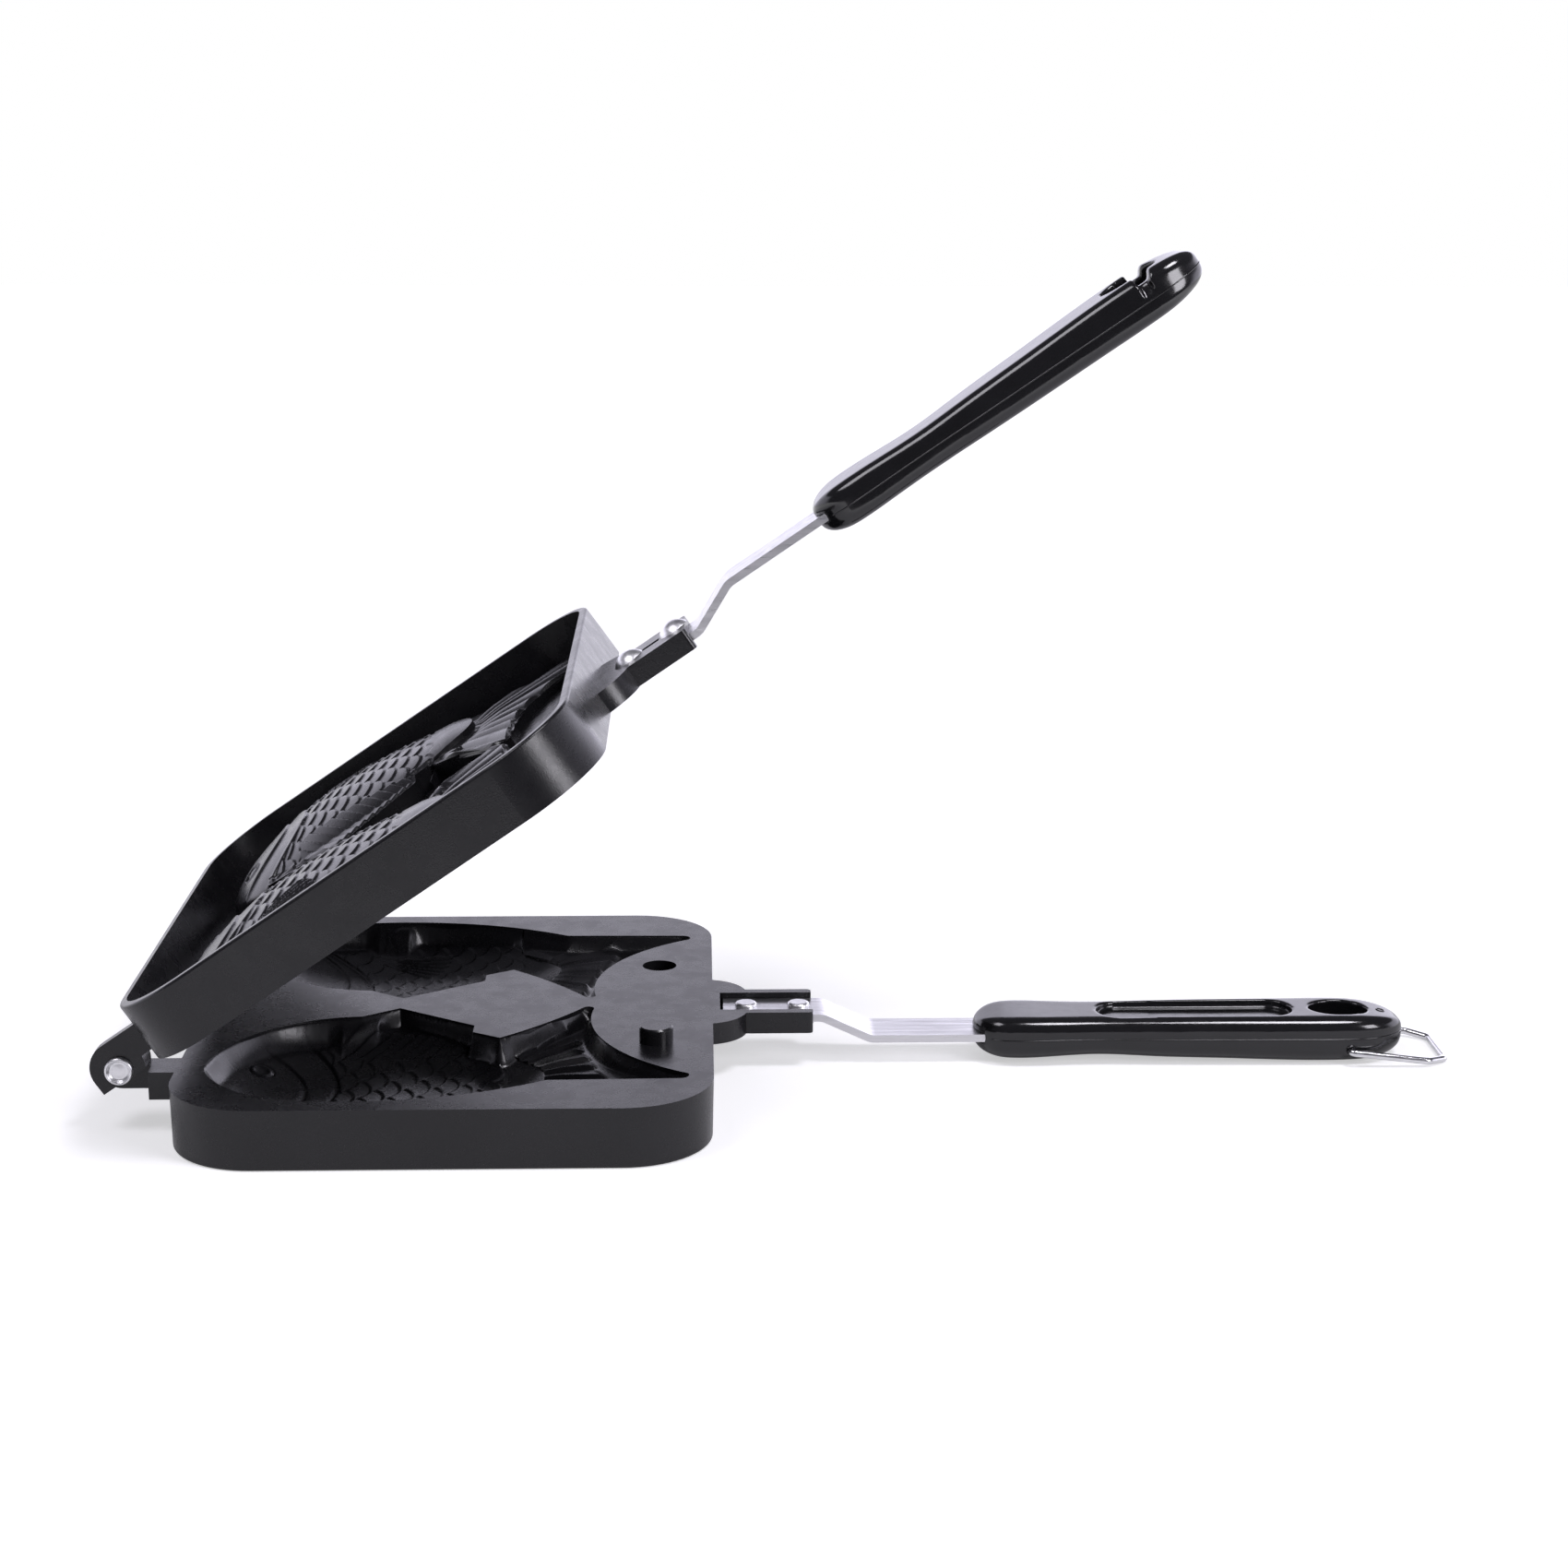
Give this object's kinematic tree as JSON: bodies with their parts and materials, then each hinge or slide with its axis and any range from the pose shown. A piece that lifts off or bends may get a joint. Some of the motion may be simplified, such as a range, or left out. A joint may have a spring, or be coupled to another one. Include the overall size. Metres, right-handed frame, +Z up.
{
  "type": "taiyaki pan",
  "caption": "Hinged double mould pan for fish-shaped filled cakes, with two long handles and a wire latch that locks them together.",
  "frame": {"origin": "bottom centre of the pan's box with the lid open at rest, on the surface that it stands on", "axes": "+X from the hinge towards the handles, +Y across the pan, +Z up"},
  "size_m": [0.3392, 0.155, 0.2059],
  "materials": {
    "mould": "die-cast aluminium under a black satin non-stick coating",
    "steel_bar": "bright satin steel strip",
    "grip": "black moulded phenolic resin, glossy",
    "rivet": "bright headed rivet",
    "wire": "bright plated steel wire"
  },
  "bodies": {
    "lower_half": {"lower_mould": "mould", "lower_handle_bar": "steel_bar", "lower_grip": "grip", "lower_rivet_mould_end": "rivet", "lower_rivet_grip_end": "rivet", "hinge_rivet_near": "rivet", "hinge_rivet_far": "rivet"},
    "upper_half": {"upper_mould": "mould", "upper_handle_bar": "steel_bar", "upper_grip": "grip", "upper_rivet_mould_end": "rivet", "upper_rivet_grip_end": "rivet"},
    "wire_latch": {"wire_latch": "wire"}
  },
  "joints": [
    {"name": "lid_hinge", "type": "hinge", "parent": "lower_half", "child": "upper_half", "pos_m": [-0.16257, 0, 0.01527], "axis": [0, -1, 0], "range_deg": [-34.35, 102]},
    {"name": "latch_swing", "type": "hinge", "parent": "lower_half", "child": "wire_latch", "pos_m": [0.14367, 0, 0.00385], "axis": [0, -1, 0], "range_deg": [-160, 96]}
  ]
}
